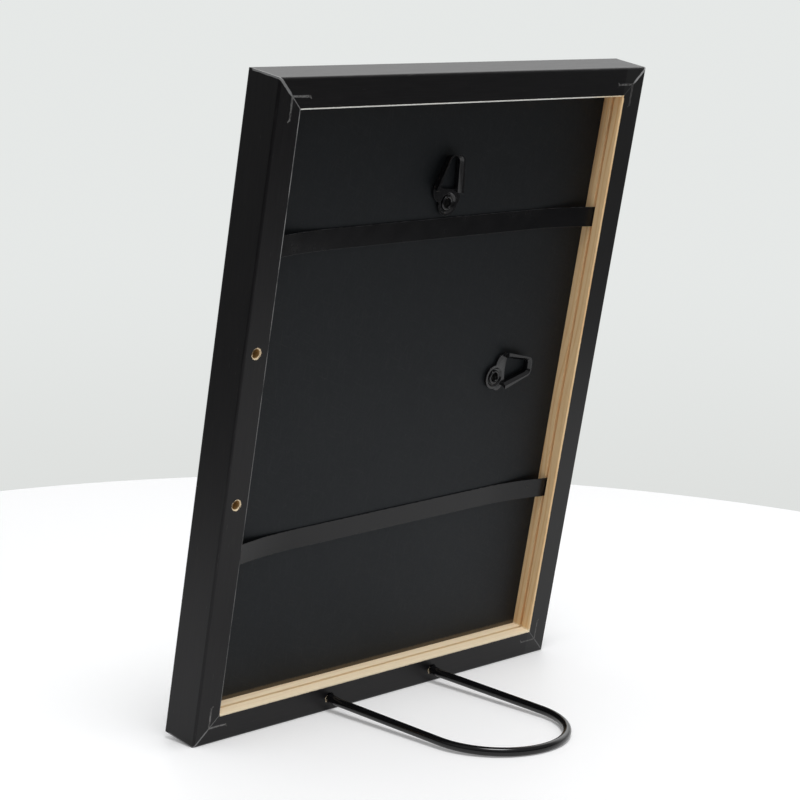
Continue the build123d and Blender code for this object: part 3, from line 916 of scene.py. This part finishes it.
@once
def torn_rim_tree():
    """Splinters round each hole, pointing away from it."""
    w, given, out = new_group(
        "GeometryNodeTree", "torn_rim",
        {"Geometry": "Geometry", "Rim Radius": "Float", "Start": "Float", "Sweep": "Float",
         "Count": "Int", "Length": "Float", "Width": "Float", "Seed": "Int", "Material": "Material"},
        {"Geometry": "Geometry"})
    sways = {"Min": (-0.5, -0.9, -0.4), "Max": (0.5, 0.9, 0.4)}
    scales = {"Min": (0.5, 0.35, 0.3), "Max": (1.4, 0.8, 1.0)}
    arc = w.fill(w.add("GeometryNodeCurveArc", mode="RADIUS"),
                 {"Resolution": given["Count"], "Radius": given["Rim Radius"],
                  "Start Angle": given["Start"], "Sweep Angle": given["Sweep"]})[0]
    rim = w.fill(w.add("GeometryNodeCurveToPoints", mode="EVALUATED"), {"Curve": arc})[0]
    away = w.add("GeometryNodeInputPosition").outputs[0]
    rim = w.fill(w.add("GeometryNodeStoreNamedAttribute", data_type="FLOAT_VECTOR", domain="POINT"),
                 {"Geometry": rim, "Name": "away", "Value": away})[0]
    rims = w.fill(w.add("GeometryNodeInstanceOnPoints"),
                  {"Points": given["Geometry"], "Instance": rim})[0]
    rims = w.fill(w.add("GeometryNodeRealizeInstances"), {"Geometry": rims})[0]
    splinter = w.fill(w.add("GeometryNodeMeshCone"),
                      {"Vertices": 5, "Radius Top": 0.0,
                       "Radius Bottom": w.times(given["Width"], 0.5),
                       "Depth": given["Length"]})[0]
    kept = w.fill(w.add("GeometryNodeInputNamedAttribute", data_type="FLOAT_VECTOR"),
                  {"Name": "away"})[0]
    aim = w.fill(w.add("FunctionNodeAlignRotationToVector", axis="Z"), {"Vector": kept})[0]
    sway = w.add("FunctionNodeRandomValue", data_type="FLOAT_VECTOR")
    sway = w.fill(sway, {**sways, "Seed": given["Seed"]})[0]
    turned = w.fill(w.add("FunctionNodeRotateRotation", rotation_space="LOCAL"),
                    {"Rotation": aim, "Rotate By": sway})[0]
    sizes = w.add("FunctionNodeRandomValue", data_type="FLOAT_VECTOR")
    sizes = w.fill(sizes, {**scales, "Seed": given["Seed"]})[0]
    splinters = w.fill(w.add("GeometryNodeInstanceOnPoints"),
                       {"Points": rims, "Instance": splinter, "Rotation": turned, "Scale": sizes})[0]
    return end_tree(w, splinters, given["Material"], out)


# Operators, one for each piece or group of like pieces

class DressRails(bpy.types.Operator):
    """Cover the four rails in black film with bare pine inside"""
    bl_idname = "photo_frame.rails"
    bl_label = "Rails"

    def execute(self, context):
        scene = context.scene
        film = black_film_on_pine(scene.photo_frame_moulding, scene.photo_frame_nails)
        for node in RAILS:
            coat_node(node, film)
        return {"FINISHED"}


class AddSplinters(bpy.types.Operator):
    """Tear small splinters out of the drilled rims"""
    bl_idname = "photo_frame.splinters"
    bl_label = "Drilled Rims"

    def execute(self, context):
        moulding = context.scene.photo_frame_moulding
        middle, half = RAIL_WIDTH / 2, HOLE_SPACING / 2
        whole_turn, wire_turn = radians(360), radians(70)
        rims = (
            ("open_hole_splinters", [(SIDE_HOLE_ACROSS, SIDE_HOLE_MIDDLE + half, 0.0),
                                     (SIDE_HOLE_ACROSS, SIDE_HOLE_MIDDLE - half, 0.0)],
             0.0, whole_turn, moulding.splinter_count, 3),
            ("wire_hole_splinters", [(half, middle, 0.0), (-half, middle, 0.0)],
             radians(180) - wire_turn / 2, wire_turn, moulding.splinter_count // 4, 8))
        for name, holes, start, sweep, count, seed in rims:
            piece = grow(name, mesh_of(name, holes), torn_rim_tree(), **{
                "Rim Radius": HOLE_RADIUS + moulding.torn_width / 2, "Start": start, "Sweep": sweep,
                "Count": count, "Length": moulding.splinter_length,
                "Width": moulding.splinter_width, "Seed": seed, "Material": torn_pine(moulding)})
            piece.data.transform(BACK)
            hand_over(piece, "frame", "black_wood")
        return {"FINISHED"}


class DressNails(bpy.types.Operator):
    """Give the corner nails stained steel"""
    bl_idname = "photo_frame.nails"
    bl_label = "Corner Nails"

    def execute(self, context):
        for node in NAILS:
            coat_node(node, stained_steel(context.scene.photo_frame_nails))
        return {"FINISHED"}


class DressPanels(bpy.types.Operator):
    """Finish the glass, the insert sheet and the backing board"""
    bl_idname = "photo_frame.panels"
    bl_label = "Glass, Insert and Board"

    def execute(self, context):
        panels = context.scene.photo_frame_panels
        coat_node("glass_pane", clear_glass(panels))
        coat_node("insert_sheet", plain_paper(panels))
        coat_node("backing_board", black_hardboard(panels))
        return {"FINISHED"}


class BuildStrips(bpy.types.Operator):
    """Build the two bowed spring strips with rounded edges"""
    bl_idname = "photo_frame.strips"
    bl_label = "Spring Strips"

    def execute(self, context):
        hardware = context.scene.photo_frame_hardware
        for side in ("upper", "lower"):
            node = side + "_spring_strip"
            piece = rounded_copy(node, side + "_strip_steel", spring_black(hardware),
                                 hardware.strip_round)
            hand_over(piece, side + "_strip", "black_spring_steel", node)
        return {"FINISHED"}


class BuildHangers(bpy.types.Operator):
    """Build the two stamped hangers and the eyelets that hold them"""
    bl_idname = "photo_frame.hangers"
    bl_label = "Hangers and Eyelets"

    def execute(self, context):
        hardware = context.scene.photo_frame_hardware
        steel = stamped_black(hardware)
        for way in ("portrait", "landscape"):
            hanger, eyelet = way + "_hanger", way + "_eyelet"
            piece = rounded_copy(hanger, way + "_hanger_stamping", steel, hardware.hanger_round)
            hand_over(piece, hanger, "black_stamped_steel", hanger)
            piece = rounded_copy(eyelet, way + "_eyelet_roll", steel, hardware.eyelet_round)
            hand_over(piece, "frame", "black_stamped_steel", eyelet)
        return {"FINISHED"}


class BuildWireStand(bpy.types.Operator):
    """Bend the wire stand from its path"""
    bl_idname = "photo_frame.wire_stand"
    bl_label = "Wire Stand"

    def execute(self, context):
        hardware = context.scene.photo_frame_hardware
        radius, half = hardware.wire / 2, HOLE_SPACING / 2
        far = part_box("wire_stand")[1].y - radius
        leg_height = RAIL_WIDTH / 2
        points = []
        for side in (half, -half):
            tip = BACK @ Vector((side, leg_height, -hardware.leg_insert))
            bend = BACK @ Vector((side, leg_height, hardware.leg_exit))
            run = [tip, bend, Vector((bend.x, far, radius))]
            points += run if side > 0 else run[::-1]
        path = mesh_of("wire_path", points, [(i, i + 1) for i in range(len(points) - 1)])
        piece = grow("bent_wire_stand", path, bent_wire_tree(), **{
            "Bend Radius": hardware.bend_radius, "Loop Radius": half, "Wire Radius": radius,
            "Sides": hardware.wire_sides, "Corner Steps": hardware.bend_steps,
            "Material": wire_black(hardware)})
        for face in piece.data.polygons:
            face.use_smooth = True
        cap_edge = radians(40)
        piece.data.set_sharp_from_angle(angle=cap_edge)
        hand_over(piece, "stand", "black_wire", "wire_stand")
        return {"FINISHED"}


class SetStage(bpy.types.Operator):
    """Set the table, the pale room, the soft lamp and the camera"""
    bl_idname = "photo_frame.stage"
    bl_label = "Stage"

    def execute(self, context):
        stage = context.scene.photo_frame_stage
        self.table(stage)
        self.room(context.scene, stage)
        self.lamp(context.scene, stage)
        self.camera(context.scene, stage)
        context.scene.view_settings.view_transform = "Standard"
        return {"FINISHED"}

    def table(self, stage):
        """A round pale table top."""
        form = bmesh.new()
        bmesh.ops.create_circle(form, cap_ends=True, segments=256, radius=stage.table_radius)
        top = form.faces[:]
        low = bmesh.ops.extrude_face_region(form, geom=top)["geom"]
        thickness = Vector((0, 0, -18 * MM))
        bmesh.ops.translate(form, vec=thickness,
                            verts=[item for item in low if isinstance(item, bmesh.types.BMVert)])
        bmesh.ops.translate(form, vec=Vector(stage.table_centre), verts=form.verts)
        bmesh.ops.recalc_face_normals(form, faces=form.faces)
        mesh = bpy.data.meshes.new("table_top")
        form.to_mesh(mesh)
        form.free()
        material, w, shader = new_material("pale_table")
        clouds = w.noise(w.place(), 0.008, 3.0)
        ray = w.add("ShaderNodeLightPath").outputs
        straight = w.most(ray["Is Camera Ray"], ray["Is Glossy Ray"], ray["Is Transmission Ray"])
        w.fill(shader, {"Base Color": w.mix(clouds, scaled(stage.table, 0.985), stage.table),
                        "Roughness": 0.5, "Specular IOR Level": 0.2,
                        "Emission Color": (1.0, 1.0, 1.0),
                        "Emission Strength": w.times(straight, stage.table_glow)})
        mesh.materials.append(material)
        show("table_top", mesh)

    def room(self, scene, stage):
        """A pale wall to look at and in reflections, and softer light from the room.

        Rise is the sine of a direction's height, and near is its cosine towards the camera's side.
        """
        world = bpy.data.worlds.new("pale_room")
        world.use_nodes = True
        scene.world = world
        w = Wiring(world.node_tree)
        world.node_tree.nodes.clear()
        direction = w.add("ShaderNodeTexCoord").outputs["Generated"]
        rise = w.split(direction)["Z"]
        seen = w.mix(w.step(rise, -0.26, -0.12), stage.low_wall, stage.wall)
        near = w.vector("DOT_PRODUCT", direction, Vector(stage.camera_place).normalized())
        mirrored = w.mix(w.step(near, -0.65, 0.25), seen, stage.mirrored_near)
        mirrored = w.mix(w.step(rise, -0.1, -0.3), mirrored, stage.mirrored_floor)
        high = w.step(rise, 0.2, 0.5)
        mirrored = w.mix(high, mirrored, stage.mirrored_top)
        lit_wall = w.times(high, w.step(near, -0.1, -0.6))
        mirrored = w.mix(lit_wall, mirrored, (stage.mirrored_wall,) * 3)
        lit = w.mix(w.step(rise, -0.4, 0.0), stage.under, stage.room)
        lit = w.mix(w.step(rise, 0.1, 0.9), lit, stage.ceiling)
        ray = w.add("ShaderNodeLightPath").outputs
        straight = w.most(ray["Is Camera Ray"], ray["Is Transmission Ray"])
        glow = w.mix(ray["Is Glossy Ray"], w.mix(straight, lit, seen), mirrored)
        glow = w.fill(w.add("ShaderNodeBackground"), {"Color": glow})[0]
        w.feed(w.add("ShaderNodeOutputWorld").inputs["Surface"], glow)

    def lamp(self, scene, stage):
        """A soft lamp over the table."""
        light = bpy.data.lights.new("soft_lamp", "AREA")
        light.energy = stage.lamp_power
        light.size = stage.lamp_size
        lamp = bpy.data.objects.new("soft_lamp", light)
        lamp.location = stage.lamp_place
        aim = (cad_box[0] + cad_box[1]) / 2 - Vector(stage.lamp_place)
        lamp.rotation_euler = aim.to_track_quat("-Z", "Y").to_euler()
        scene.collection.objects.link(lamp)

    def camera(self, scene, stage):
        """The camera at the photograph's viewing angle."""
        lens = bpy.data.cameras.new("camera")
        lens.lens = stage.camera_lens
        lens.shift_y = stage.camera_shift
        camera = bpy.data.objects.new("camera", lens)
        camera.location = stage.camera_place
        camera.rotation_euler = stage.camera_turn
        scene.collection.objects.link(camera)
        scene.camera = camera


STEPS = (SetStage, DressRails, AddSplinters, DressNails, DressPanels, BuildStrips, BuildHangers,
         BuildWireStand)
SETTINGS = {"photo_frame_moulding": MouldingSettings, "photo_frame_nails": NailSettings,
            "photo_frame_panels": PanelSettings, "photo_frame_hardware": HardwareSettings,
            "photo_frame_stage": StageSettings}


class PhotoFramePanel(bpy.types.Panel):
    """The steps that dress the photo frame, and what they can be given"""
    bl_idname = "VIEW3D_PT_photo_frame"
    bl_label = "Photo Frame"
    bl_space_type = "VIEW_3D"
    bl_region_type = "UI"
    bl_category = "Photo Frame"

    def draw(self, context):
        for step in STEPS:
            self.layout.operator(step.bl_idname)
        for name, group in SETTINGS.items():
            box = self.layout.box()
            for setting in group.__annotations__:
                box.prop(getattr(context.scene, name), setting)


def register():
    """Makes the settings, operators and panel known to Blender."""
    for group in SETTINGS.values():
        bpy.utils.register_class(group)
    for name, group in SETTINGS.items():
        setattr(bpy.types.Scene, name, PointerProperty(type=group))
    for item in (*STEPS, PhotoFramePanel):
        bpy.utils.register_class(item)


def unregister():
    """Takes them away again."""
    for item in (PhotoFramePanel, *reversed(STEPS)):
        bpy.utils.unregister_class(item)
    for name in SETTINGS:
        delattr(bpy.types.Scene, name)
    for group in reversed(SETTINGS.values()):
        bpy.utils.unregister_class(group)


def main():
    """Builds the whole scene."""
    register()
    bpy.ops.photo_frame.stage()
    bpy.ops.photo_frame.rails()
    bpy.ops.photo_frame.splinters()
    bpy.ops.photo_frame.nails()
    bpy.ops.photo_frame.panels()
    bpy.ops.photo_frame.strips()
    bpy.ops.photo_frame.hangers()
    bpy.ops.photo_frame.wire_stand()


if __name__ == "__main__":
    main()
